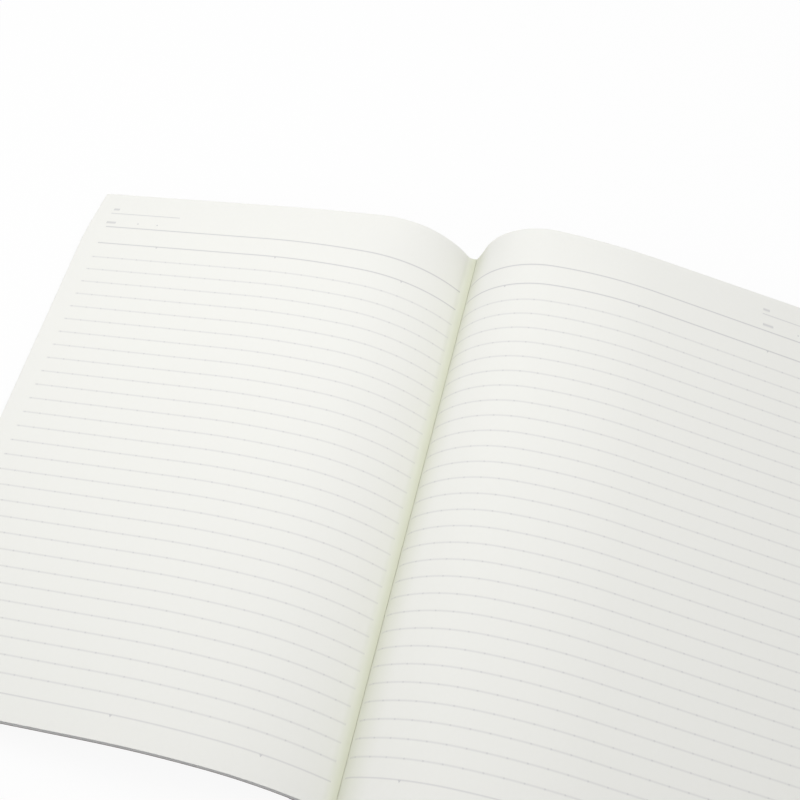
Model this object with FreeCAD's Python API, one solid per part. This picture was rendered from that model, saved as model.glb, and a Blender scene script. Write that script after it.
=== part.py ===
import FreeCAD, Part
import math
import os

# Open composition notebook, glued at the spine and lying open on a table near its middle.
# Millimetres. +X runs across the open pages to the right, +Y towards their head, +Z up.
# The origin is the middle of the spine's base, in the table's plane. The gutter lies in the plane x = 0.
# Each half is drawn in (u, z), where u is the distance from the gutter outwards, and the left half is mirrored.

# The leaves
PAGE_HEIGHT = 251.0
PAGE_WIDTH = 180.5
RIGHT_STACK = 3.0
LEFT_STACK = 3.0
# how much further out the lowest leaf of a half ends than its top leaf, because it takes the inner way round
FORE_EDGE_FAN = 2.4

# The binding
COVER_THICKNESS = 0.45
TAPE_THICKNESS = 0.25
GLUE_THICKNESS = 0.8
# the thin film left between bent layers that lie on each other, leaves and cover, or cover and tape
LAYER_FILM = 0.05
# how far the tape runs onto each cover, along the page from the gutter
TAPE_REACH = 16.0
# how far the leaves stand up from the glue before they bend over
LEAF_ROOT = 0.35
# half the free width between the two halves at the gutter
GUTTER_CLEARANCE = 0.15

# The bends of the top leaf: the length of each arc, and the headings between the arcs, in degrees
# over the table, going outwards: where the leaf leaves the gutter, where its shoulder begins and
# where its crown begins. They are given at the tail, short of the head, and at the head's edge,
# where the shoulders are sharper.
HEAD_CURL = 22.0
RIGHT_ROOT_RUN = 8.5
RIGHT_SHOULDER_RUN = 39.0
RIGHT_CROWN_RUN = 43.0
RIGHT_HEADINGS_AT_TAIL = (78.0, 39.0, 5.0)
RIGHT_HEADINGS_BELOW_HEAD = (85.0, 60.0, 3.0)
RIGHT_HEADINGS_AT_HEAD = (66.0, 73.0, -4.0)
LEFT_ROOT_RUN = 4.5
LEFT_SHOULDER_RUN = 44.5
LEFT_CROWN_RUN = 46.0
LEFT_HEADINGS_AT_TAIL = (-12.0, 33.0, 4.5)
LEFT_HEADINGS_BELOW_HEAD = (-19.0, 41.0, 1.0)
LEFT_HEADINGS_AT_HEAD = (-26.0, 55.0, -6.0)

# a wall is a true plane where its fourth corner lies this near the plane of the other three
FLATNESS = 1e-6
# The fall of the leaves to the table is looked for between these, in degrees, by halving.
STEEPEST_FALL = -60.0
LEAST_BEND_OF_CROWN = 0.5
HALVINGS = 60

# the top of the glue, and the gutter's bottom: the flatter half's leaves lie on each other over the glue
ROOT_HEIGHT = TAPE_THICKNESS + GLUE_THICKNESS
GUTTER_HEIGHT = ROOT_HEIGHT + LEAF_ROOT + max(LEFT_STACK, RIGHT_STACK)


class Half:
    """One half of the open notebook: which way it lies and how its top leaf is bent.

    The top leaf is a chain of arcs that pass into each other: the root, the shoulder and the crown,
    then a straight fall to the table. Each arc's length is the same all along the gutter, and the
    headings between the arcs change from the tail to the head.
    """

    def __init__(self, side, stack, runs, tail, below_head, head):
        self.side = side
        self.stack = stack
        self.runs = runs
        self.sections = [
            (-PAGE_HEIGHT / 2, tail),
            (PAGE_HEIGHT / 2 - HEAD_CURL, below_head),
            (PAGE_HEIGHT / 2, head),
        ]


RIGHT = Half(
    side=1,
    stack=RIGHT_STACK,
    runs=(RIGHT_ROOT_RUN, RIGHT_SHOULDER_RUN, RIGHT_CROWN_RUN),
    tail=RIGHT_HEADINGS_AT_TAIL,
    below_head=RIGHT_HEADINGS_BELOW_HEAD,
    head=RIGHT_HEADINGS_AT_HEAD,
)
LEFT = Half(
    side=-1,
    stack=LEFT_STACK,
    runs=(LEFT_ROOT_RUN, LEFT_SHOULDER_RUN, LEFT_CROWN_RUN),
    tail=LEFT_HEADINGS_AT_TAIL,
    below_head=LEFT_HEADINGS_BELOW_HEAD,
    head=LEFT_HEADINGS_AT_HEAD,
)


class Arc:
    """A stretch of the top leaf between two headings, and the curves that run under it at a depth."""

    def __init__(self, start, heading, end_heading, first, length):
        self.first = first
        self.last = first + length
        self.heading = heading
        self.end_heading = end_heading
        self.radius = length / (end_heading - heading)
        self.centre = (
            start[0] - self.radius * math.sin(heading),
            start[1] + self.radius * math.cos(heading),
        )

    def heading_at(self, station):
        share = (station - self.first) / (self.last - self.first)
        return self.heading + share * (self.end_heading - self.heading)

    def point(self, heading, depth):
        reach = self.radius + depth
        return (
            self.centre[0] + reach * math.sin(heading),
            self.centre[1] - reach * math.cos(heading),
        )

    def heading_over(self, u, depth):
        """The heading at which the curve at that depth passes over a distance u from the gutter."""
        return math.asin((u - self.centre[0]) / (self.radius + depth))


def page_arcs(half, headings, fall):
    """The three arcs of the top leaf at one end, from the gutter outwards."""
    turns = [math.radians(angle) for angle in headings] + [fall]
    arcs = []
    point = (GUTTER_CLEARANCE, GUTTER_HEIGHT)
    station = 0.0
    for run, heading, end_heading in zip(half.runs, turns, turns[1:]):
        arc = Arc(point, heading, end_heading, station, run)
        arcs.append(arc)
        point = arc.point(end_heading, 0.0)
        station += run
    return arcs


def fall_point(arcs, station, depth):
    """A point under the straight fall, at that station along the top leaf."""
    last = arcs[-1]
    heading = last.end_heading
    u, z = last.point(heading, depth)
    beyond = station - last.last
    return (u + beyond * math.cos(heading), z + beyond * math.sin(heading))


def cover_sides(half):
    """The depths of the cover's two faces under the top leaf."""
    inner = half.stack + LAYER_FILM
    return inner, inner + COVER_THICKNESS


def tape_sides(half):
    """The depths of the tape's two faces under the top leaf."""
    inner = cover_sides(half)[1] + LAYER_FILM
    return inner, inner + TAPE_THICKNESS


def settled_arcs(half, headings):
    """The arcs with the fall that brings the cover's fore-edge down onto the table, found by halving."""
    depth = cover_sides(half)[1]
    steep = math.radians(STEEPEST_FALL)
    flat = math.radians(headings[-1] - LEAST_BEND_OF_CROWN)
    for _ in range(HALVINGS):
        fall = (steep + flat) / 2
        arcs = page_arcs(half, headings, fall)
        if fall_point(arcs, PAGE_WIDTH + FORE_EDGE_FAN, depth)[1] > 0.0:
            flat = fall
        else:
            steep = fall
    return arcs


def curve_at(arcs, depth, reach, y, side):
    """The edges that run at a depth under the top leaf, from the gutter side out to a station.

    They start beside the gutter, as far out as they are deep, and every arc is parted at the
    tape's reach, so that layers of different length still meet face to face.
    """

    def place(point):
        return FreeCAD.Vector(side * point[0], y, point[1])

    start_heading = arcs[0].heading
    if depth > 0.0:
        start_heading = arcs[0].heading_over(GUTTER_CLEARANCE + depth, depth)
    edges = []
    for arc in arcs:
        stations = [arc.first, arc.last]
        if arc.first < TAPE_REACH < arc.last:
            stations.insert(1, TAPE_REACH)
        for first, last in zip(stations, stations[1:]):
            if first >= reach:
                continue
            begin = start_heading if first == 0.0 else arc.heading_at(first)
            end = arc.heading_at(last)
            middle = (begin + end) / 2
            edges.append(
                Part.Arc(
                    place(arc.point(begin, depth)),
                    place(arc.point(middle, depth)),
                    place(arc.point(end, depth)),
                ).toShape()
            )
    if reach > arcs[-1].last:
        begin = place(fall_point(arcs, arcs[-1].last, depth))
        end = place(fall_point(arcs, reach, depth))
        edges.append(Part.makeLine(begin, end))
    return edges


def ends_of(edge):
    """The first and the last point of an edge."""
    return edge.valueAt(edge.FirstParameter), edge.valueAt(edge.LastParameter)


def outline(half, y, headings, inner, outer, foot, inner_reach, outer_reach):
    """The edges round one layer of a half, in the section at y.

    inner and outer are depths under the top leaf. foot is the path under the layer, in (u, z),
    from below its inner curve to below its outer curve.
    """
    arcs = settled_arcs(half, headings)
    upper = curve_at(arcs, inner, inner_reach, y, half.side)
    lower = curve_at(arcs, outer, outer_reach, y, half.side)
    base = [FreeCAD.Vector(half.side * u, y, z) for u, z in foot]
    corners = [ends_of(lower[0])[0], *reversed(base), ends_of(upper[0])[0]]
    fore_edge = Part.makeLine(ends_of(upper[-1])[1], ends_of(lower[-1])[1])
    root = [Part.makeLine(a, b) for a, b in zip(corners, corners[1:])]
    return [*upper, fore_edge, *reversed(lower), *root]


def wall(edge, next_edge):
    """The face between matching edges of two outlines: a plane where it is flat, or straight rulings."""
    start, end = ends_of(edge)
    next_start, next_end = ends_of(next_edge)
    straight = all(e.Curve.TypeId == "Part::GeomLine" for e in (edge, next_edge))
    upright = (end - start).cross(next_start - start).normalize()
    if straight and abs((next_end - start).dot(upright)) < FLATNESS:
        return Part.Face(Part.makePolygon([start, end, next_end, next_start, start]))
    return Part.makeRuledSurface(edge, next_edge)


def layer(half, inner, outer, foot, inner_reach, outer_reach):
    """The solid through a layer's outlines from tail to head, with straight rulings between them."""
    outlines = [
        outline(half, y, headings, inner, outer, foot, inner_reach, outer_reach)
        for y, headings in half.sections
    ]
    walls = [
        wall(a, b)
        for first, second in zip(outlines, outlines[1:])
        for a, b in zip(first, second)
    ]
    ends = (outlines[0], outlines[-1])
    caps = [Part.Face(Part.Wire(Part.sortEdges(edges)[0])) for edges in ends]
    shell = Part.Shell(walls + caps)
    shell.sewShape()
    solid = Part.Solid(shell).removeSplitter()
    if solid.Volume < 0:
        solid.reverse()
    return solid


def pages(half):
    """The leaves of one half, from the glue up and over to the fore-edge."""
    foot = [(GUTTER_CLEARANCE + depth, ROOT_HEIGHT) for depth in (0.0, half.stack)]
    return layer(half, 0.0, half.stack, foot, PAGE_WIDTH, PAGE_WIDTH + FORE_EDGE_FAN)


def cover(half):
    """The card under one half, from the tape up the side of the spine and out to the fore-edge."""
    inner, outer = cover_sides(half)
    foot = [(GUTTER_CLEARANCE + depth, TAPE_THICKNESS) for depth in (inner, outer)]
    reach = PAGE_WIDTH + FORE_EDGE_FAN
    return layer(half, inner, outer, foot, reach, reach)


def spine_tape():
    """The cloth strip under the spine, up its right side and onto the back cover."""
    inner, outer = tape_sides(RIGHT)
    far = -(GUTTER_CLEARANCE + tape_sides(LEFT)[1])
    foot = [
        (GUTTER_CLEARANCE + inner, TAPE_THICKNESS),
        (far, TAPE_THICKNESS),
        (far, 0.0),
        (GUTTER_CLEARANCE + outer, 0.0),
    ]
    return layer(RIGHT, inner, outer, foot, TAPE_REACH, TAPE_REACH)


def front_tape_flange():
    """The same strip up the left side of the spine and onto the front cover."""
    inner, outer = tape_sides(LEFT)
    foot = [(GUTTER_CLEARANCE + depth, TAPE_THICKNESS) for depth in (inner, outer)]
    return layer(LEFT, inner, outer, foot, TAPE_REACH, TAPE_REACH)


def spine_glue():
    """The strip of adhesive between the two covers, under the roots of the leaves."""
    left = -(GUTTER_CLEARANCE + LEFT_STACK)
    right = GUTTER_CLEARANCE + RIGHT_STACK
    corner = FreeCAD.Vector(left, -PAGE_HEIGHT / 2, TAPE_THICKNESS)
    return Part.makeBox(right - left, PAGE_HEIGHT, GLUE_THICKNESS, corner)


os.makedirs("parts", exist_ok=True)
nodes = {
    "right_pages": pages(RIGHT),
    "left_pages": pages(LEFT),
    "back_cover": cover(RIGHT),
    "front_cover": cover(LEFT),
    "spine_tape": spine_tape(),
    "front_tape_flange": front_tape_flange(),
    "spine_glue": spine_glue(),
}
for name, solid in nodes.items():
    solid.exportStep(os.path.join("parts", name + ".step"))
    box = solid.BoundBox
    low = (round(box.XMin, 2), round(box.YMin, 2), round(box.ZMin, 2))
    high = (round(box.XMax, 2), round(box.YMax, 2), round(box.ZMax, 2))
    print(name, solid.isValid(), round(solid.Volume, 1), low, high)
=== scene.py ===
import logging
import math
from dataclasses import dataclass
from enum import Enum

import bpy
import numpy as np
from mathutils import Matrix, Vector


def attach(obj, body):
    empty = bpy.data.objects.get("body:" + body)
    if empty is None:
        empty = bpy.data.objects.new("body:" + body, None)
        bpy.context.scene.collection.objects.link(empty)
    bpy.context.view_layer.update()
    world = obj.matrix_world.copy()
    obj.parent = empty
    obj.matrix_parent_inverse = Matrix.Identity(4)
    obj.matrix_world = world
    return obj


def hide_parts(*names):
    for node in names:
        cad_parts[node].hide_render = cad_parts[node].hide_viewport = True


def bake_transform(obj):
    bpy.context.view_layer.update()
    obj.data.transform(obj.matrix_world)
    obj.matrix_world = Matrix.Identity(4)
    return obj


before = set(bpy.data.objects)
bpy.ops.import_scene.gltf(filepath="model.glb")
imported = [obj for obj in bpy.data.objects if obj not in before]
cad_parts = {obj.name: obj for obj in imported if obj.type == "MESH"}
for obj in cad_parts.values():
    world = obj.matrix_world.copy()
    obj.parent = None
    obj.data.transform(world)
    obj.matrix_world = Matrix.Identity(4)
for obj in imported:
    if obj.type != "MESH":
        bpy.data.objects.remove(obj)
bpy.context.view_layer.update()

# An open composition notebook: two arched stacks of ruled leaves, glued at the spine into two soft
# card covers and bound over with cloth tape, lying on a white table. Lengths in the classes are
# millimetres, and one factor turns them to metres where a mesh is made. +X runs across the open
# pages to the right, +Y towards their head, +Z up. The gutter lies in the plane x = 0.

MM = 0.001
logging.basicConfig(level=logging.INFO, format="%(name)s: %(message)s")
LOG = logging.getLogger("notebook")

Triple = tuple[float, float, float]
Socket = bpy.types.NodeSocket


class Side(Enum):
    """The half of the open notebook that a piece belongs to, as the sign of its x."""

    LEFT = -1
    RIGHT = 1


class Body(Enum):
    """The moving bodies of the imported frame."""

    BACK = "back_half"
    FRONT = "front_half"


# Colour and nodes.


def linear(code: str) -> tuple[float, float, float, float]:
    """Turns an sRGB hex colour to linear light.

    Args:
        code: Six hex digits, such as "F4F5F0".

    Returns:
        Red, green, blue and an alpha of 1.
    """
    channels = [int(code[i : i + 2], 16) / 255 for i in (0, 2, 4)]
    low, high = (lambda c: c / 12.92), (lambda c: ((c + 0.055) / 1.055) ** 2.4)
    return (*[low(c) if c <= 0.04045 else high(c) for c in channels], 1.0)


def add_node(
    tree: bpy.types.NodeTree,
    kind: str,
    inputs: dict[object, object] | None = None,
    output: int | str = 0,
    **settings: object,
) -> Socket | None:
    """Adds a node with its settings, values and links.

    Args:
        tree: The node tree to add to.
        kind: The node's type name.
        inputs: Values or sockets for the node's inputs, by name or number.
        output: Which output to hand back, by name or number.
        **settings: The node's own properties.

    Returns:
        The chosen output socket, or None for a node that has no outputs.
    """
    node = tree.nodes.new(kind)
    for name, value in settings.items():
        setattr(node, name, value)
    for key, value in (inputs or {}).items():
        if isinstance(value, Socket):
            tree.links.new(value, node.inputs[key])
        else:
            node.inputs[key].default_value = value
    return node.outputs[output] if node.outputs else None


def empty_material(name: str) -> tuple[bpy.types.Material, bpy.types.NodeTree]:
    """Makes a material with no nodes.

    Args:
        name: The finish's name.

    Returns:
        The material and its node tree.
    """
    material = bpy.data.materials.new(name)
    material.use_nodes = True
    material.node_tree.nodes.clear()
    return material, material.node_tree


# The sheet and its bend.


@dataclass(frozen=True)
class Binding:
    """Sizes that every layer of the notebook shares, in millimetres."""

    page_height: float = 251.0
    page_width: float = 180.5
    stack: float = 3.0
    fan: float = 2.4
    film: float = 0.05
    cover: float = 0.45
    tape: float = 0.25
    tape_reach: float = 16.0
    glue: float = 0.8
    leaf_root: float = 0.35
    clearance: float = 0.15
    head_curl: float = 22.0
    curl_easing: float = 8.0

    @property
    def root_height(self) -> float:
        """Height of the glue's top over the table."""
        return self.tape + self.glue

    @property
    def gutter_height(self) -> float:
        """Height of the top leaf at the gutter."""
        return self.root_height + self.leaf_root + self.stack

    @property
    def cover_sides(self) -> tuple[float, float]:
        """Depths of the cover's inner and outer face under the top leaf."""
        inner = self.stack + self.film
        return inner, inner + self.cover

    @property
    def tape_sides(self) -> tuple[float, float]:
        """Depths of the tape's inner and outer face under the top leaf."""
        inner = self.cover_sides[1] + self.film
        return inner, inner + self.tape


BINDING = Binding()

# The search for the fall that lays a cover on the table, in degrees and steps.
STEEPEST_FALL = -60.0
LEAST_BEND_OF_CROWN = 0.5
HALVINGS = 60

# The grid of a page: rows along the straight part and over the eased curl, the lengths in
# millimetres left plain before the curl and at the head, and columns on the root and each run.
PLAIN_ROWS = 5
EASED_ROWS = 7
BEFORE_CURL = 20.0
AT_HEAD = 7.0
ROOT_COLUMNS = 4
RUN_COLUMNS = (12, 36, 24, 12)
LEAST_COLUMN = 0.5

# An edge that turns more than this, in degrees, is shaded sharp.
SHARP_TURN = 40.0


@dataclass(frozen=True)
class PageBend:
    """How one half's leaves are bent, in three sections from tail to head.

    Each section of the top leaf is a chain of arcs that pass into each other, root, shoulder and
    crown, and then a straight fall to the table. Between the sections every point runs along a
    straight ruling, with the join short of the head eased.
    """

    side: Side
    runs: Triple
    tail: Triple
    below_head: Triple
    head: Triple

    def turns(self, headings: Triple) -> list[float]:
        """The headings between the arcs, with the fall that brings the cover down onto the table.

        The fall is halved between steep and flat until the cover's outer fore-edge corner is at
        height 0: z = z(crown's end) - depth cos(fall) + (width + fan - runs) sin(fall).

        Args:
            headings: Heading at the gutter, the shoulder's start and the crown's start, degrees.

        Returns:
            Four headings in radians.
        """
        depth = BINDING.cover_sides[1]
        known = [math.radians(angle) for angle in headings]
        steep = math.radians(STEEPEST_FALL)
        flat = known[-1] - math.radians(LEAST_BEND_OF_CROWN)
        reach = np.array([[BINDING.page_width + BINDING.fan]])
        for _ in range(HALVINGS):
            fall = (steep + flat) / 2
            height = self.section([*known, fall], reach, np.array([[depth]]))[1][0, 0]
            steep, flat = (steep, fall) if height > 0.0 else (fall, flat)
        return [*known, fall]

    def section(
        self, turns: list[float], stations: np.ndarray, depths: np.ndarray
    ) -> tuple[np.ndarray, np.ndarray]:
        """Where points of a layer lie in one section.

        On an arc of centre c and radius R, a point at depth d is c + (R + d)(sin h, -cos h), with h
        the heading there. The first arc starts as far from the gutter as its depth. A negative
        station is a share of the upright root under that start, and past the last arc the layer
        runs straight on along the last heading.

        Args:
            turns: Four headings in radians, as turns gives them.
            stations: Distances along the top leaf from the gutter, in millimetres.
            depths: Depths under the top leaf, of a shape that broadcasts with the stations.

        Returns:
            The distances from the gutter and the heights, in millimetres.
        """
        stations, depths = np.broadcast_arrays(stations, depths)
        begin = (BINDING.clearance, BINDING.gutter_height)
        first = 0.0
        u, z = np.zeros(stations.shape), np.zeros(stations.shape)
        for arc, (run, start, end) in enumerate(zip(self.runs, turns, turns[1:])):
            radius = run / (end - start)
            centre = (begin[0] - radius * math.sin(start), begin[1] + radius * math.cos(start))
            reach = radius + depths
            opening = np.full(stations.shape, start)
            if arc == 0:
                opening = np.arcsin((BINDING.clearance + depths - centre[0]) / reach)
            share = np.clip((stations - first) / run, 0.0, 1.0)
            heading = opening + share * (end - opening)
            here = (stations >= first) | (arc == 0)
            u = np.where(here, centre[0] + reach * np.sin(heading), u)
            z = np.where(here, centre[1] - reach * np.cos(heading), z)
            begin = (
                centre[0] + radius * math.sin(end),
                centre[1] - radius * math.cos(end),
            )
            first += run
        beyond = np.maximum(stations - first, 0.0)
        u, z = u + beyond * math.cos(turns[-1]), z + beyond * math.sin(turns[-1])
        rooted = np.minimum(stations, 0.0)
        return u, z + rooted * (z - BINDING.root_height)

    def row_shares(self, rows: np.ndarray) -> np.ndarray:
        """Shares of the three sections in each row.

        Linear from tail to the section short of the head and on to the head. Around the middle
        section the two lines are joined by a quadratic Bezier curve over the easing length.

        Args:
            rows: The rows' y, in millimetres.

        Returns:
            An array of one line per row, with the shares of tail, below-head and head sections.
        """
        half = BINDING.page_height / 2
        knots = np.array([-half, half - BINDING.head_curl, half])
        eased = BINDING.curl_easing

        def straight(y: np.ndarray) -> np.ndarray:
            """The shares without easing."""
            return np.stack([np.interp(y, knots, line) for line in np.eye(3)], -1)

        shares = straight(rows)
        start, end = knots[1] - eased, knots[1] + eased
        t = np.clip((rows - start) / (2 * eased), 0.0, 1.0)[:, None]
        curve = (
            (1 - t) ** 2 * straight(np.array([start]))
            + 2 * t * (1 - t) * straight(knots[1:2])
            + t**2 * straight(np.array([end]))
        )
        near = (np.abs(rows - knots[1]) < eased)[:, None]
        return np.where(near, curve, shares)

    def place(self, rows: np.ndarray, stations: np.ndarray, depths: np.ndarray) -> np.ndarray:
        """Points of a layer in metres, in the notebook's frame.

        Each point is the mean of its places in the three sections, weighted by its row's shares.

        Args:
            rows: The rows' y in millimetres, shape (rows,).
            stations: Stations in millimetres, shape (rows, layers, columns).
            depths: Depths in millimetres, of a shape that broadcasts with the stations.

        Returns:
            An array of shape (rows, layers, columns, 3).
        """
        shares = self.row_shares(rows)[:, :, None, None]
        x, z = 0.0, 0.0
        for index, headings in enumerate((self.tail, self.below_head, self.head)):
            u, height = self.section(self.turns(headings), stations, depths)
            x = x + shares[:, index] * u
            z = z + shares[:, index] * height
        y = np.broadcast_to(rows[:, None, None], x.shape)
        return np.stack([self.side.value * x, y, z], -1) * MM


RIGHT_BEND = PageBend(
    side=Side.RIGHT,
    runs=(8.5, 39.0, 43.0),
    tail=(78.0, 39.0, 5.0),
    below_head=(85.0, 60.0, 3.0),
    head=(66.0, 73.0, -4.0),
)
LEFT_BEND = PageBend(
    side=Side.LEFT,
    runs=(4.5, 44.5, 46.0),
    tail=(-12.0, 33.0, 4.5),
    below_head=(-19.0, 41.0, 1.0),
    head=(-26.0, 55.0, -6.0),
)


def page_rows() -> np.ndarray:
    """The rows' y from tail to head, close together only where the curl is eased.

    Returns:
        The rows in millimetres.
    """
    half = BINDING.page_height / 2
    bend = half - BINDING.head_curl
    eased = np.linspace(bend - BINDING.curl_easing, bend + BINDING.curl_easing, EASED_ROWS)
    plain = np.linspace(-half, bend - BEFORE_CURL, PLAIN_ROWS)
    return np.concatenate([plain, eased, [half - AT_HEAD, half]])


def page_columns(bend: PageBend, reach: float, root: bool = True) -> np.ndarray:
    """Stations from the root to the fore-edge, closer together where the leaf is bent more.

    Args:
        bend: The half's bend.
        reach: The last station.
        root: Whether the upright root is among them.

    Returns:
        Stations in millimetres, where a negative one is a share of the upright root.
    """
    ends = np.concatenate([[0.0], np.cumsum(bend.runs), [BINDING.page_width]])
    parts = [np.linspace(a, b, n, endpoint=False) for a, b, n in zip(ends, ends[1:], RUN_COLUMNS)]
    stations = np.concatenate([*parts, [BINDING.page_width]])
    stations = np.append(stations[stations < reach - LEAST_COLUMN], reach)
    upright = np.linspace(-1.0, 0.0, ROOT_COLUMNS, endpoint=False) if root else []
    return np.concatenate([upright, stations])


# Meshes.


def sheet_quads(rows: int, columns: int, mirrored: bool) -> tuple[np.ndarray, np.ndarray]:
    """Faces of one closed thin sheet whose points come as (row, face of the sheet, column).

    Args:
        rows: Number of rows.
        columns: Number of columns.
        mirrored: Whether the columns run towards -X, which turns every face round.

    Returns:
        The quads, and for each whether it lies on the sheet's cut edge.
    """
    index = np.arange(rows * 2 * columns).reshape(rows, 2, columns)
    top, low = index[:, 0], index[:, 1]

    def quads(*corners: np.ndarray) -> np.ndarray:
        """Faces from the four corner grids."""
        return np.stack([c.ravel() for c in corners], -1)

    faces = [
        quads(top[:-1, :-1], top[:-1, 1:], top[1:, 1:], top[1:, :-1]),
        quads(low[:-1, :-1], low[1:, :-1], low[1:, 1:], low[:-1, 1:]),
        quads(top[:-1, -1], low[:-1, -1], low[1:, -1], top[1:, -1]),
        quads(top[:-1, 0], top[1:, 0], low[1:, 0], low[:-1, 0]),
        quads(top[-1, :-1], top[-1, 1:], low[-1, 1:], low[-1, :-1]),
        quads(top[0, :-1], low[0, :-1], low[0, 1:], top[0, 1:]),
    ]
    on_edge = np.concatenate([np.full(len(f), i > 1) for i, f in enumerate(faces)])
    together = np.concatenate(faces)
    return (together[:, ::-1] if mirrored else together), on_edge


def mesh_piece(
    name: str,
    points: np.ndarray,
    quads: np.ndarray,
    materials: list[bpy.types.Material],
    slots: np.ndarray | None = None,
    place: np.ndarray | None = None,
) -> bpy.types.Object:
    """Makes an object from points and quads, at the origin and unturned.

    Args:
        name: The piece's name.
        points: Points in metres, shape (n, 3).
        quads: Corner numbers, shape (m, 4).
        materials: The finishes.
        slots: The finish of each quad.
        place: The surface place of each point, kept as the attribute "place_mm".

    Returns:
        The object, smooth shaded with its sharp edges marked.
    """
    mesh = bpy.data.meshes.new(name)
    mesh.vertices.add(len(points))
    mesh.vertices.foreach_set("co", points.astype(np.float32).ravel())
    mesh.loops.add(quads.size)
    mesh.loops.foreach_set("vertex_index", quads.astype(np.int32).ravel())
    mesh.polygons.add(len(quads))
    mesh.polygons.foreach_set("loop_start", np.arange(0, quads.size, 4, dtype=np.int32))
    if slots is not None:
        mesh.polygons.foreach_set("material_index", slots.astype(np.int32))
    mesh.update(calc_edges=True)
    mesh.validate()
    mesh.polygons.foreach_set("use_smooth", np.ones(len(quads), dtype=bool))
    mesh.set_sharp_from_angle(angle=math.radians(SHARP_TURN))
    if place is not None:
        layer = mesh.attributes.new("place_mm", "FLOAT_VECTOR", "POINT")
        layer.data.foreach_set("vector", place.astype(np.float32).ravel())
    for material in materials:
        mesh.materials.append(material)
    piece = bpy.data.objects.new(name, mesh)
    bpy.context.scene.collection.objects.link(piece)
    return piece


# Finishes.


@dataclass(frozen=True)
class HeaderField:
    """A mark of the header block: its middle and size on the page, in millimetres."""

    station: float
    row: float
    length: float
    thickness: float
    tint: float


@dataclass(frozen=True)
class Ruling:
    """The offset-printed ruling of one page, and the painted shade at its gutter, in millimetres
    along the page and from mid height.
    """

    first_dot: float
    first_tick: float
    shift: float
    inner_end: float
    outer_end: float
    # Reach and share of the painted gutter shade, which is no print: the sheet darkens towards the
    # gutter to stand in for the shade there.
    gutter_shade_reach: float
    gutter_shade_share: float
    fields: tuple[HeaderField, ...]
    pitch: float = 7.0
    tick_pitch: float = 56.0
    header_row: float = 105.94
    first_row: float = 96.34
    light_top: float = 88.23
    light_bottom: float = -107.77
    last_row: float = -115.33
    light_reach: float = 0.65
    dark_reach: float = 0.52
    dot_reach: float = 0.6
    light_tint: float = 0.17
    dark_tint: float = 0.38
    last_tint: float = 0.25
    dot_tint: float = 0.18
    tick_height: float = 1.1
    tick_slope: float = 0.6
    row_margin: float = 0.8


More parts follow.
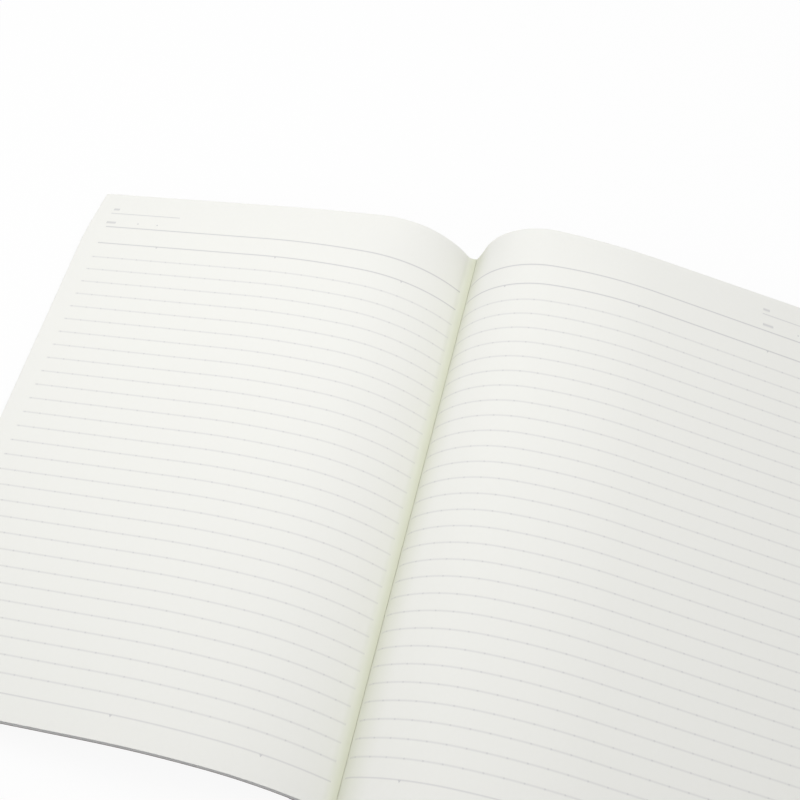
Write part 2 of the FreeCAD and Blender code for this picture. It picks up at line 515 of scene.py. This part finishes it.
@dataclass(frozen=True)
class RuledPaper:
    """Uncoated woodfree writing paper, calendered, ruled by offset.

    It scatters light at every angle and hardly shines. The faint cloudiness of its fibres is about
    Its edge, cut by a guillotine, is given a greyer copy of the same paper as painted shade.
    """

    name: str
    ruling: Ruling | None
    sheet: str = "EEEEEA"
    cloud: str = "ECECE7"
    ink: str = "8A8896"
    # Colour of the painted shade at the gutter, with the yellow-green cast of light thrown back by
    # the facing page.
    gutter_painted_shade_colour: str = "C4C8A8"
    roughness: float = 0.9
    specular: float = 0.25
    cloud_size: float = 1.4
    fibre_size: float = 0.35
    fibre_height: float = 0.02
    fibre_strength: float = 0.25

    def marks(self, tree: bpy.types.NodeTree, where: Socket) -> Socket:
        """Draws the ruling by distances on the page.

        A rule's tint falls off smoothly with the distance from its row, a dot's with the distance
        from the nearest crossing of rule and 7 mm mark, and a tick is a small triangle that hangs
        from the first and the last rule. The real rules are about 0.2 mm wide, which is under half
        a pixel of the render, so they are drawn broader and as much paler.

        Args:
            tree: The material's nodes.
            where: The place on the page, in millimetres.

        Returns:
            The share of ink.
        """
        ruling = self.ruling
        kind = "ShaderNodeMath"
        split = add_node(tree, "ShaderNodeSeparateXYZ", {0: where}).node.outputs
        x = split["X"]
        y = add_node(tree, kind, {0: split["Y"], 1: ruling.shift}, operation="SUBTRACT")

        def band(value: Socket, middle: float, half: float) -> Socket:
            """1 within half a width of the middle, and 0 elsewhere."""
            return add_node(tree, kind, {0: value, 1: middle, 2: half}, operation="COMPARE")

        def both(*masks: object) -> Socket:
            """The product of all masks.

            Args:
                *masks: Sockets or numbers.

            Returns:
                What all of them let through.
            """
            result = masks[0]
            for mask in masks[1:]:
                result = add_node(tree, kind, {0: result, 1: mask}, operation="MULTIPLY")
            return result

        def either(*masks: Socket) -> Socket:
            """The greatest of all masks.

            Args:
                *masks: Sockets.

            Returns:
                What any of them lets through.
            """
            result = masks[0]
            for mask in masks[1:]:
                result = add_node(tree, kind, {0: result, 1: mask}, operation="MAXIMUM")
            return result

        def fading(distance: Socket, reach: float, tint: float) -> Socket:
            """The tint at no distance, falling smoothly to none at the reach."""
            return add_node(
                tree,
                "ShaderNodeMapRange",
                {"Value": distance, "From Max": reach, "To Min": tint, "To Max": 0.0},
                interpolation_type="SMOOTHSTEP",
            )

        def distance_to(value: Socket, place: float, pitch: float = 0.0) -> Socket:
            """Distance to a place or, with a pitch, to the nearest of a series of places.

            Args:
                value: Where on the page, in millimetres.
                place: The place, or the series' first.
                pitch: The series' spacing, or 0 for one place.

            Returns:
                The distance in millimetres.
            """
            off = add_node(tree, kind, {0: value, 1: place}, operation="SUBTRACT")
            if pitch:
                ends = {0: off, 1: pitch / 2, 2: -pitch / 2}
                off = add_node(tree, kind, ends, operation="WRAP")
            return add_node(tree, kind, {0: off}, operation="ABSOLUTE")

        middle = (ruling.inner_end + ruling.outer_end) / 2
        on_page = band(x, middle, (ruling.outer_end - ruling.inner_end) / 2)
        span = (ruling.light_top - ruling.light_bottom) / 2
        in_block = both(band(y, ruling.light_top - span, span + ruling.row_margin), on_page)
        off_rule = distance_to(y, ruling.light_top, ruling.pitch)
        off_mark = distance_to(x, ruling.first_dot, ruling.pitch)
        squares = {0: both(off_rule, off_rule), 1: both(off_mark, off_mark)}
        square = add_node(tree, kind, squares, operation="ADD")
        off_crossing = add_node(tree, kind, {0: square}, operation="SQRT")
        rules = both(fading(off_rule, ruling.light_reach, ruling.light_tint), in_block)
        dots = both(fading(off_crossing, ruling.dot_reach, ruling.dot_tint), in_block)
        printed = [add_node(tree, kind, {0: rules, 1: dots}, operation="ADD")]
        for row, tint in (
            (ruling.header_row, ruling.dark_tint),
            (ruling.first_row, ruling.dark_tint),
            (ruling.last_row, ruling.last_tint),
        ):
            printed.append(both(fading(distance_to(y, row), ruling.dark_reach, tint), on_page))
        off_tick = distance_to(x, ruling.first_tick, ruling.tick_pitch)
        for row in (ruling.first_row, ruling.last_row):
            tip = {0: y, 1: row - ruling.tick_height}
            half_width = both(add_node(tree, kind, tip, operation="SUBTRACT"), ruling.tick_slope)
            sides = {0: off_tick, 1: half_width}
            inside = add_node(tree, kind, sides, operation="LESS_THAN")
            below = band(y, row - ruling.tick_height / 2, ruling.tick_height / 2)
            printed.append(both(inside, below, on_page, ruling.dark_tint))
        for mark in ruling.fields:
            along = band(x, mark.station, mark.length / 2)
            printed.append(both(fading(distance_to(y, mark.row), mark.thickness, mark.tint), along))
        return either(*printed)

    def build(self) -> bpy.types.Material:
        """Makes the paper's material.

        Returns:
            The material.
        """
        material, tree = empty_material(self.name)
        place = add_node(tree, "ShaderNodeTexCoord", output="Object")
        clouds = add_node(
            tree,
            "ShaderNodeTexNoise",
            {"Vector": place, "Scale": 1 / (self.cloud_size * MM), "Detail": 3.0},
        )
        colour = add_node(
            tree,
            "ShaderNodeMix",
            {"Factor": clouds, 6: linear(self.sheet), 7: linear(self.cloud)},
            output=2,
            data_type="RGBA",
        )
        where = add_node(tree, "ShaderNodeAttribute", output="Vector", attribute_name="place_mm")
        # Painted shade: near the gutter the sheet is darkened to a yellow-green, standing in for
        # the shade there and the light that the facing page throws back.
        if self.ruling is not None:
            station = add_node(tree, "ShaderNodeSeparateXYZ", {0: where}, output="X")
            painted_gutter_shade = add_node(
                tree,
                "ShaderNodeMapRange",
                {
                    "Value": station,
                    "From Max": self.ruling.gutter_shade_reach,
                    "To Min": self.ruling.gutter_shade_share,
                    "To Max": 0.0,
                },
                interpolation_type="SMOOTHSTEP",
            )
            for share, tone in (
                (painted_gutter_shade, self.gutter_painted_shade_colour),
                (self.marks(tree, where), self.ink),
            ):
                colour = add_node(
                    tree,
                    "ShaderNodeMix",
                    {"Factor": share, 6: colour, 7: linear(tone)},
                    output=2,
                    data_type="RGBA",
                )
        fibres = add_node(
            tree,
            "ShaderNodeTexNoise",
            {"Vector": place, "Scale": 1 / (self.fibre_size * MM), "Detail": 4.0},
        )
        bump = add_node(
            tree,
            "ShaderNodeBump",
            {
                "Strength": self.fibre_strength,
                "Distance": self.fibre_height * MM,
                "Height": fibres,
            },
        )
        surface = add_node(
            tree,
            "ShaderNodeBsdfPrincipled",
            {
                "Base Color": colour,
                "Roughness": self.roughness,
                "Specular IOR Level": self.specular,
                "Normal": bump,
            },
        )
        add_node(tree, "ShaderNodeOutputMaterial", {"Surface": surface})
        return material


@dataclass(frozen=True)
class PrintedCard:
    """Solid bleached board of about 250 g per square metre, flooded with a matt brown mauve ink.

    It is matt, with the faint grain of an embossed cover.
    """

    name: str = "printed_matt_cover_card"
    face: str = "7F6E69"
    grain: str = "76655F"
    mottle_size: float = 0.9
    pebble_size: float = 0.7
    pebble_height: float = 0.05
    pebble_strength: float = 0.3
    roughness: float = 0.62

    def build(self) -> bpy.types.Material:
        """Makes the card's material.

        Returns:
            The material.
        """
        material, tree = empty_material(self.name)
        place = add_node(tree, "ShaderNodeTexCoord", output="Object")
        mottle = add_node(
            tree,
            "ShaderNodeTexNoise",
            {"Vector": place, "Scale": 1 / (self.mottle_size * MM), "Detail": 5.0},
        )
        colour = add_node(
            tree,
            "ShaderNodeMix",
            {"Factor": mottle, 6: linear(self.face), 7: linear(self.grain)},
            output=2,
            data_type="RGBA",
        )
        pebbles = add_node(
            tree,
            "ShaderNodeTexVoronoi",
            {"Vector": place, "Scale": 1 / (self.pebble_size * MM)},
            feature="SMOOTH_F1",
        )
        bump = add_node(
            tree,
            "ShaderNodeBump",
            {
                "Strength": self.pebble_strength,
                "Distance": self.pebble_height * MM,
                "Height": pebbles,
            },
        )
        surface = add_node(
            tree,
            "ShaderNodeBsdfPrincipled",
            {"Base Color": colour, "Roughness": self.roughness, "Normal": bump},
        )
        add_node(tree, "ShaderNodeOutputMaterial", {"Surface": surface})
        return material


@dataclass(frozen=True)
class BookCloth:
    """Woven cotton book tape, starch filled, dyed dark brown.

    Its threads lie 0.45 mm apart, plainly woven, so it looks ribbed both ways from near by.
    """

    name: str = "woven_book_cloth_tape"
    thread: str = "463A3A"
    hollow: str = "2C2424"
    spacing: float = 0.45
    thread_height: float = 0.08
    thread_strength: float = 0.6
    roughness: float = 0.8

    def build(self) -> bpy.types.Material:
        """Makes the cloth's material, of two sets of threads over and under each other.

        The weave is |sin(pi x / spacing) sin(pi y / spacing)|, 1 on top of a thread.

        Returns:
            The material.
        """
        material, tree = empty_material(self.name)
        where = add_node(tree, "ShaderNodeAttribute", output="Vector", attribute_name="place_mm")
        split = add_node(tree, "ShaderNodeSeparateXYZ", {0: where}).node.outputs
        kind, turns = "ShaderNodeMath", math.pi / self.spacing
        waves = []
        for axis in ("X", "Y"):
            turned = add_node(tree, kind, {0: split[axis], 1: turns}, operation="MULTIPLY")
            waves.append(add_node(tree, kind, {0: turned}, operation="SINE"))
        crossed = add_node(tree, kind, dict(enumerate(waves)), operation="MULTIPLY")
        weave = add_node(tree, kind, {0: crossed}, operation="ABSOLUTE")
        colour = add_node(
            tree,
            "ShaderNodeMix",
            {"Factor": weave, 6: linear(self.hollow), 7: linear(self.thread)},
            output=2,
            data_type="RGBA",
        )
        bump = add_node(
            tree,
            "ShaderNodeBump",
            {
                "Strength": self.thread_strength,
                "Distance": self.thread_height * MM,
                "Height": weave,
            },
        )
        surface = add_node(
            tree,
            "ShaderNodeBsdfPrincipled",
            {"Base Color": colour, "Roughness": self.roughness, "Normal": bump},
        )
        add_node(tree, "ShaderNodeOutputMaterial", {"Surface": surface})
        return material


@dataclass(frozen=True)
class HotMelt:
    """Set hot-melt binding glue: pale amber, waxy and half matt, with soft ripples."""

    name: str = "set_hot_melt_glue"
    body: str = "EDE6CB"
    ripple: str = "DFD5B2"
    ripple_size: float = 2.5
    ripple_height: float = 0.1
    ripple_strength: float = 0.5
    roughness: float = 0.38

    def build(self) -> bpy.types.Material:
        """Makes the glue's material.

        Returns:
            The material.
        """
        material, tree = empty_material(self.name)
        place = add_node(tree, "ShaderNodeTexCoord", output="Object")
        waves = add_node(
            tree,
            "ShaderNodeTexNoise",
            {"Vector": place, "Scale": 1 / (self.ripple_size * MM), "Detail": 2.0},
        )
        colour = add_node(
            tree,
            "ShaderNodeMix",
            {"Factor": waves, 6: linear(self.body), 7: linear(self.ripple)},
            output=2,
            data_type="RGBA",
        )
        bump = add_node(
            tree,
            "ShaderNodeBump",
            {
                "Strength": self.ripple_strength,
                "Distance": self.ripple_height * MM,
                "Height": waves,
            },
        )
        surface = add_node(
            tree,
            "ShaderNodeBsdfPrincipled",
            {"Base Color": colour, "Roughness": self.roughness, "Normal": bump},
        )
        add_node(tree, "ShaderNodeOutputMaterial", {"Surface": surface})
        return material


# The notebook's pieces.


@dataclass
class LeafBlock:
    """The leaves of one half, each a closed thin sheet with its roots in the glue.

    Near the gutter the leaves are pressed together, by up to the press and no more past its reach.
    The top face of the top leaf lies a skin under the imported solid's. Lengths in millimetres.
    """

    bend: PageBend
    body: Body
    node: str
    paper: RuledPaper
    edges: RuledPaper
    leaves: int = 25
    leaf: float = 0.1
    skin: float = 0.02
    ragged: float = 0.14
    press: float = 0.12
    press_reach: float = 8.0
    seed: int = 7

    def depths(self, rng: np.random.Generator) -> np.ndarray:
        """Depths of each leaf's two faces.

        The leaves share the stack's thickness with gaps between them whose sizes vary, because
        leaves cling together in bunches.

        Args:
            rng: The seeded source of the gaps.

        Returns:
            An array of shape (leaves, 2).
        """
        free = BINDING.stack - self.leaves * self.leaf
        gaps = rng.exponential(1.0, self.leaves - 1)
        gaps *= free / gaps.sum()
        tops = np.concatenate([[0.0], np.cumsum(gaps + self.leaf)])
        faces = np.stack([tops, tops + self.leaf], -1)
        faces[0, 0] += self.skin
        return faces

    def build(self) -> bpy.types.Object:
        """Builds the leaves.

        Each leaf ends further out the deeper it lies, by the fan's share of its depth, and up to
        the ragged length short of that, a little askew: reach = width + fan depth / stack - short
        + askew (y / height) - |askew| / 2. Only the straight fall past the arcs is stretched to
        it.

        Returns:
            The piece, riding on its half.
        """
        rng = np.random.default_rng(self.seed)
        faces = self.depths(rng)
        rows = page_rows()
        columns = page_columns(self.bend, BINDING.page_width)
        short = rng.uniform(0.0, self.ragged, self.leaves)
        askew = rng.uniform(-0.5, 0.5, self.leaves) * self.ragged
        short[0] = askew[0] = 0.0
        lean = askew[:, None] * rows[None, :] / BINDING.page_height - np.abs(askew[:, None]) / 2
        reach = (
            BINDING.page_width
            + BINDING.fan * faces[:, 1, None] / BINDING.stack
            - short[:, None]
            + lean
        )
        held = sum(self.bend.runs)
        stretch = (reach - held) / (BINDING.page_width - held)
        stations = columns[None, None, :] + np.maximum(columns - held, 0.0)[None, None, :] * (
            stretch[:, :, None] - 1.0
        )
        quads, cut = sheet_quads(len(rows), len(columns), self.bend.side is Side.LEFT)
        trims = rng.uniform(0.0, self.ragged / 2, (self.leaves, 2))
        trims[0] = 0.0
        points, places, all_quads = [], [], []
        for number in range(self.leaves):
            lines = rows.copy()
            lines[0] += trims[number, 0]
            lines[-1] -= trims[number, 1]
            along = np.repeat(stations[number][:, None, :], 2, 1)
            spot = self.bend.place(lines, along, faces[number][None, :, None])
            pressed = self.press * np.clip(1.0 - along / self.press_reach, 0.0, 1.0)
            spot[..., 0] -= self.bend.side.value * pressed * MM
            points.append(spot.reshape(-1, 3))
            flat = np.stack(np.broadcast_arrays(along, lines[:, None, None], 0.0), -1)
            places.append(flat.reshape(-1, 3))
            all_quads.append(quads + number * spot[..., 0].size)
        piece = mesh_piece(
            f"{self.bend.side.name.lower()}_leaves",
            np.concatenate(points),
            np.concatenate(all_quads),
            [self.paper.build(), self.edges.build()],
            np.tile(cut, self.leaves),
            np.concatenate(places),
        )
        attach(piece, self.body.value)
        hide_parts(self.node)
        return piece


@dataclass
class CoverBoard:
    """The card cover under one half, from beside the spine out to the fore-edge."""

    bend: PageBend
    body: Body
    node: str
    card: PrintedCard

    def build(self) -> bpy.types.Object:
        """Builds the cover as one closed bent sheet, between its two depths under the top leaf.

        Returns:
            The piece, riding on its half.
        """
        rows = page_rows()
        reach = BINDING.page_width + BINDING.fan
        columns = page_columns(self.bend, BINDING.page_width)
        columns[-1] = reach
        stations = np.broadcast_to(columns, (len(rows), 2, len(columns)))
        depths = np.array(BINDING.cover_sides)[None, :, None]
        points = self.bend.place(rows, stations, depths)
        root = columns < 0
        points[:, :, root, 2] = self.foot(points[:, :, ~root, 2][:, :, 0], columns[root])
        quads, _ = sheet_quads(len(rows), len(columns), self.bend.side is Side.LEFT)
        flat = np.stack(np.broadcast_arrays(stations, rows[:, None, None], depths), -1)
        piece = mesh_piece(
            f"{self.node}_card",
            points.reshape(-1, 3),
            quads,
            [self.card.build()],
            place=flat.reshape(-1, 3),
        )
        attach(piece, self.body.value)
        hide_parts(self.node)
        return piece

    @staticmethod
    def foot(starts: np.ndarray, shares: np.ndarray) -> np.ndarray:
        """Heights of the cover's upright root, from the tape's top up to where the bend starts.

        Args:
            starts: Heights in metres where the bend starts, shape (rows, 2).
            shares: Negative stations, from -1 at the foot to 0 at the bend.

        Returns:
            An array of shape (rows, 2, shares).
        """
        base = BINDING.tape * MM
        return base + (1.0 + shares)[None, None, :] * (starts[:, :, None] - base)


@dataclass
class SpineTape:
    """The cloth strip round the spine, stuck to both covers."""

    cloth: BookCloth
    corner: float = 0.6
    corner_columns: int = 6

    def side_path(self, bend: PageBend, rows: np.ndarray) -> np.ndarray:
        """The strip on one side, from the far edge on the cover down to the middle of the base.

        The corner at the foot is a quarter circle of radius r from the wall w to the base b:
        u = w - r (1 - cos a), z = b + r (1 - sin a).

        Args:
            bend: The half's bend.
            rows: The rows' y.

        Returns:
            Points of shape (rows, 2, columns, 3), with the outer face second.
        """
        columns = page_columns(bend, BINDING.tape_reach, root=False)[::-1]
        stations = np.broadcast_to(columns, (len(rows), 2, len(columns)))
        depths = np.array(BINDING.tape_sides)[None, :, None]
        flank = bend.place(rows, stations, depths)
        angles = np.linspace(0.0, math.pi / 2, self.corner_columns)
        heights = np.array([BINDING.tape, 0.0])
        rounding = np.array([self.corner - BINDING.tape, self.corner])
        walls = BINDING.clearance + np.array(BINDING.tape_sides)
        u = walls[:, None] - rounding[:, None] * (1 - np.cos(angles))
        z = heights[:, None] + rounding[:, None] * (1 - np.sin(angles))
        u = np.concatenate([u, u[:, -1:] / 2, np.zeros((2, 1))], 1)
        z = np.concatenate([z, z[:, -1:], z[:, -1:]], 1)
        base = np.stack(
            np.broadcast_arrays(bend.side.value * u[None], rows[:, None, None], z[None]), -1
        )
        return np.concatenate([flank, base * MM], 2)

    def build(self) -> bpy.types.Object:
        """Builds the strip, with its place baked into its points.

        Returns:
            The piece, riding on neither half.
        """
        rows = page_rows()
        left = self.side_path(LEFT_BEND, rows)
        right = self.side_path(RIGHT_BEND, rows)
        points = np.concatenate([left, right[:, :, -2::-1]], 2)
        steps = np.linalg.norm(np.diff(points, axis=2), axis=-1)
        lengths = np.concatenate([np.zeros((*steps.shape[:2], 1)), np.cumsum(steps, 2)], 2) / MM
        quads, _ = sheet_quads(len(rows), points.shape[2], False)
        flat = np.stack(np.broadcast_arrays(lengths, rows[:, None, None], 0.0), -1)
        piece = mesh_piece(
            "spine_cloth_tape",
            points.reshape(-1, 3),
            quads,
            [self.cloth.build()],
            place=flat.reshape(-1, 3),
        )
        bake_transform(piece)
        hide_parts("spine_tape", "front_tape_flange")
        return piece


@dataclass
class SpineGlue:
    """The glue strip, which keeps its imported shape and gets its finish."""

    glue: HotMelt

    def dress(self) -> bpy.types.Object:
        """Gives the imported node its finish.

        Returns:
            The node's object.
        """
        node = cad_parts["spine_glue"]
        node.data.materials.clear()
        node.data.materials.append(self.glue.build())
        return node


# Studio.


def seen_rays(tree: bpy.types.NodeTree) -> Socket:
    """Marks the rays that show the white ground itself: seen, mirrored or let through.

    Args:
        tree: The nodes of the table or of the surround.

    Returns:
        1 for such a ray and 0 for any other.
    """
    path = add_node(tree, "ShaderNodeLightPath").node.outputs
    seen = path["Is Camera Ray"]
    for kind in ("Is Glossy Ray", "Is Transmission Ray"):
        seen = add_node(tree, "ShaderNodeMath", {0: seen, 1: path[kind]}, operation="MAXIMUM")
    return seen


@dataclass(frozen=True)
class Softbox:
    """A square softbox: where it hangs and its side, in metres, and its power in watts."""

    name: str
    spot: Triple
    size: float
    power: float

    def hang(self) -> None:
        """Hangs the box so that it looks at the notebook."""
        data = bpy.data.lights.new(self.name, "AREA")
        data.size = self.size
        data.energy = self.power
        lamp = bpy.data.objects.new(self.name, data)
        lamp.location = self.spot
        lamp.visible_camera = False
        lamp.rotation_euler = (-Vector(self.spot)).to_track_quat("-Z", "Y").to_euler()
        bpy.context.scene.collection.objects.link(lamp)


@dataclass(frozen=True)
class Studio:
    """The white table, the light and the camera.

    The camera's place, in millimetres, its directions, lens and shift come from a fit to the
    photograph. The table's size is in metres and its depth under the notebook in millimetres.
    """

    lens: float = 63.7326
    sensor: float = 36.0
    shift: tuple[float, float] = (0.122675, 0.011138)
    eye: Triple = (51.567, -261.339, 498.359)
    right: Triple = (0.963619, 0.262407, -0.050795)
    down: Triple = (0.196169, -0.823439, -0.532415)
    ahead: Triple = (-0.181536, 0.503081, -0.844958)
    ambient: float = 0.515
    table_size: float = 6.0
    table_depth: float = 0.02
    shadow_share: float = 0.08
    softboxes: tuple[Softbox, ...] = (
        Softbox("overhead_softbox", (-0.15, 0.1, 0.5), 0.5, 1.164),
        Softbox("right_softbox", (0.4, 0.2, 0.7), 0.5, 1.085),
        Softbox("left_softbox", (-0.3, 0.1, 0.4), 0.3, 0.255),
    )

    def table(self) -> None:
        """Lays the table: white to the camera, with a faint shadow of the notebook."""
        material, tree = empty_material("matt_white_table")
        paint = add_node(
            tree, "ShaderNodeBsdfDiffuse", {"Color": (0.9, 0.9, 0.9, 1.0), "Roughness": 0.5}
        )
        white = add_node(tree, "ShaderNodeEmission", {"Color": (1.0, 1.0, 1.0, 1.0)})
        shares = {0: seen_rays(tree), 1: 1.0 - self.shadow_share}
        share = add_node(tree, "ShaderNodeMath", shares, operation="MULTIPLY")
        surface = add_node(tree, "ShaderNodeMixShader", {0: share, 1: paint, 2: white})
        add_node(tree, "ShaderNodeOutputMaterial", {"Surface": surface})
        half = self.table_size / 2
        level = -self.table_depth * MM
        corners = np.array([[x, y, level] for x, y in ((-1, -1), (1, -1), (1, 1), (-1, 1))])
        corners[:, :2] *= half
        table = mesh_piece("table_top", corners, np.array([[0, 1, 2, 3]]), [material])

    def light(self) -> None:
        """Sets a white surround and hangs the softboxes close over the notebook."""
        world = bpy.data.worlds.new("white_studio")
        bpy.context.scene.world = world
        world.use_nodes = True
        tree = world.node_tree
        tree.nodes.clear()
        soft = add_node(
            tree, "ShaderNodeBackground", {0: (1.0, 1.0, 1.0, 1.0), 1: self.ambient}
        )
        seen = add_node(tree, "ShaderNodeBackground", {0: (1.0, 1.0, 1.0, 1.0), 1: 1.0})
        mixed = add_node(tree, "ShaderNodeMixShader", {0: seen_rays(tree), 1: soft, 2: seen})
        add_node(tree, "ShaderNodeOutputWorld", {"Surface": mixed})
        for softbox in self.softboxes:
            softbox.hang()

    def camera(self) -> None:
        """Sets the camera: where it stands, its three directions and its lens."""
        data = bpy.data.cameras.new("photo_camera")
        data.sensor_width = self.sensor
        data.lens = self.lens
        data.shift_x, data.shift_y = self.shift
        data.clip_end = 50.0
        camera = bpy.data.objects.new("photo_camera", data)
        axes = Matrix((self.right, [-v for v in self.down], [-v for v in self.ahead]))
        camera.matrix_world = (
            Matrix.Translation(Vector(self.eye) * MM) @ axes.transposed().to_4x4()
        )
        bpy.context.scene.collection.objects.link(camera)
        bpy.context.scene.camera = camera


def header_block(start: float, way: int, row: float) -> tuple[HeaderField, ...]:
    """The number and date fields, with plain bars for their words.

    Args:
        start: Station where the block starts.
        way: Which way it runs, 1 out towards the fore-edge and -1 in towards the gutter.
        row: The number field's line.

    Returns:
        The block's marks.
    """
    return (
        HeaderField(start + way * 17.0, row, 34.0, 0.45, 0.3),
        HeaderField(start + way * 1.7, row + 2.4, 2.9, 1.05, 0.33),
        HeaderField(start + way * 2.5, row - 5.5, 4.6, 1.05, 0.33),
        HeaderField(start + way * 15.8, row - 5.3, 0.7, 0.5, 0.45),
        HeaderField(start + way * 25.3, row - 5.3, 0.7, 0.5, 0.45),
    )


LEFT_RULING = Ruling(
    first_dot=163.98,
    first_tick=142.98,
    shift=0.0,
    inner_end=3.5,
    outer_end=172.0,
    gutter_shade_reach=6.0,
    gutter_shade_share=0.6,
    fields=header_block(173.0, -1, 114.0),
)
RIGHT_RULING = Ruling(
    first_dot=20.8,
    first_tick=27.8,
    shift=1.41,
    inner_end=3.5,
    outer_end=172.0,
    gutter_shade_reach=18.0,
    gutter_shade_share=0.45,
    fields=header_block(137.0, 1, 114.4),
)


def main() -> None:
    """Builds the notebook and the studio, and reports each piece."""
    bpy.context.scene.view_settings.view_transform = "Standard"
    # Painted shade: the leaves' cut edges get a greyer copy of the paper, standing in for the shade
    # on the stack's faces.
    edges = RuledPaper("leaf_edges_painted_shade", None, sheet="D4D4D6", cloud="C8C8CB")
    blocks = (
        LeafBlock(
            RIGHT_BEND,
            Body.BACK,
            "right_pages",
            RuledPaper("ruled_writing_paper_right", RIGHT_RULING),
            edges,
        ),
        LeafBlock(
            LEFT_BEND,
            Body.FRONT,
            "left_pages",
            RuledPaper("ruled_writing_paper_left", LEFT_RULING),
            edges,
            seed=11,
        ),
    )
    card = PrintedCard()
    pieces = [block.build() for block in blocks]
    pieces.append(CoverBoard(RIGHT_BEND, Body.BACK, "back_cover", card).build())
    pieces.append(CoverBoard(LEFT_BEND, Body.FRONT, "front_cover", card).build())
    pieces.append(SpineTape(BookCloth()).build())
    pieces.append(SpineGlue(HotMelt()).dress())
    for piece in pieces:
        LOG.info("%s has %d faces", piece.name, len(piece.data.polygons))
    studio = Studio()
    studio.table()
    studio.light()
    studio.camera()


if __name__ == "__main__":
    main()
